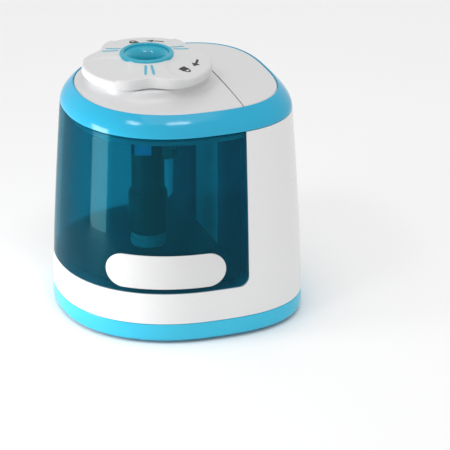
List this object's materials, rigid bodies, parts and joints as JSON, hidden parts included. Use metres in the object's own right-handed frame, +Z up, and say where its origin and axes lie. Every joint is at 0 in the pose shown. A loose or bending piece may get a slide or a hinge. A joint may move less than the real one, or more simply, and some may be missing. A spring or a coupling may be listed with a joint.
{
  "type": "pencil sharpener",
  "caption": "Battery desk pencil sharpener with a clear slide-out shavings tank, a turning lobed knob with a pencil funnel and a motor-driven blade cutter.",
  "frame": {"origin": "on the desk, under the middle of the body, 9.3 mm behind the axis of the pencil hole", "axes": "+Z up along the pencil hole, -Y towards the shavings tank's end, +Y towards the motor housing, +X to the side with the label plate"},
  "size_m": [0.08, 0.0834, 0.0921],
  "materials": {
    "white_plastic": "smooth moulded plastic, satin gloss",
    "cyan_plastic": "smooth opaque moulded plastic, glossy",
    "clear_teal": "see-through moulded plastic, glossy",
    "dark_plastic": "dark moulded plastic",
    "rubber": "soft rubber",
    "zinc_steel": "zinc-plated steel",
    "blade_steel": "ground steel",
    "cell_jacket": "printed film over a steel can",
    "gear_nylon": "unfilled nylon",
    "clear_nylon": "natural see-through nylon",
    "bronze": "sintered bronze",
    "brass": "turned brass",
    "mark_ink": "pad-printed ink",
    "red_sheath": "wire insulation",
    "black_sheath": "wire insulation",
    "label_white": "printed film label, blank"
  },
  "bodies": {
    "housing": {"base_tray": "cyan_plastic", "rubber_feet": "rubber", "base_screws": "zinc_steel", "battery_cradle": "white_plastic", "aa_cell_1": "cell_jacket", "aa_cell_2": "cell_jacket", "aa_cell_3": "cell_jacket", "aa_cell_4": "cell_jacket", "contact_springs": "zinc_steel", "contact_plates": "zinc_steel", "main_housing": "white_plastic", "gear_deck": "white_plastic", "deck_screws": "zinc_steel", "top_band": "cyan_plastic", "front_cover": "white_plastic", "rear_cover": "white_plastic", "rotor_bush": "bronze", "idler_axle": "zinc_steel", "motor_can": "zinc_steel", "motor_end_cap": "dark_plastic", "motor_cradle": "white_plastic", "guide_finger": "cyan_plastic", "lever_pin": "zinc_steel", "start_switch": "dark_plastic", "safety_switch": "dark_plastic", "red_wire": "red_sheath", "black_wire": "black_sheath"},
    "tank": {"shavings_tank": "clear_teal", "label_plate": "label_white"},
    "door": {"battery_door": "cyan_plastic"},
    "knob": {"knob": "white_plastic", "knob_marks": "mark_ink", "pencil_funnel": "cyan_plastic"},
    "rotor": {"cutter_gear": "gear_nylon", "cutter_holder": "dark_plastic", "cutter_blade": "blade_steel", "blade_screw": "zinc_steel", "stop_plug": "clear_nylon"},
    "idler": {"idler_gear": "gear_nylon"},
    "motor_rotor": {"pinion": "brass", "motor_shaft": "zinc_steel"},
    "lever": {"start_lever": "dark_plastic"},
    "plunger": {"safety_plunger": "gear_nylon"}
  },
  "joints": [
    {"name": "tank_slide", "type": "slide", "parent": "housing", "child": "tank", "axis": [0, -1, 0], "range_m": [0, 0.06]},
    {"name": "door_hinge", "type": "hinge", "parent": "housing", "child": "door", "pos_m": [0, 0.0284, 0.0022], "axis": [1, 0, 0], "range_deg": [0, 80]},
    {"name": "knob_turn", "type": "hinge", "parent": "housing", "child": "knob", "pos_m": [0, -0.0093, 0.085], "axis": [0, 0, 1], "range_deg": [0, 45]},
    {"name": "rotor_spin", "type": "hinge", "parent": "housing", "child": "rotor", "pos_m": [0, -0.0093, 0.07], "axis": [0, 0, 1], "continuous": true},
    {"name": "idler_spin", "type": "hinge", "parent": "housing", "child": "idler", "pos_m": [0, 0.0102, 0.075], "axis": [0, 0, 1], "continuous": true},
    {"name": "motor_spin", "type": "hinge", "parent": "housing", "child": "motor_rotor", "pos_m": [0, 0.0257, 0.06], "axis": [0, 0, 1], "continuous": true},
    {"name": "lever_swing", "type": "hinge", "parent": "housing", "child": "lever", "pos_m": [0.00886, -0.00213, 0.0615], "axis": [-0.6293, 0.7771, 0], "range_deg": [-6, 0], "stiffness_Nm_per_rad": 0.002},
    {"name": "plunger_slide", "type": "slide", "parent": "housing", "child": "plunger", "axis": [0, -1, 0], "range_m": [0, 0.0015]}
  ],
  "couplings": [
    {"joint": "idler_spin", "follows": "rotor_spin", "ratio": -3.875},
    {"joint": "motor_spin", "follows": "rotor_spin", "ratio": 20.15},
    {"joint": "plunger_slide", "follows": "tank_slide", "ratio": 0.025}
  ]
}
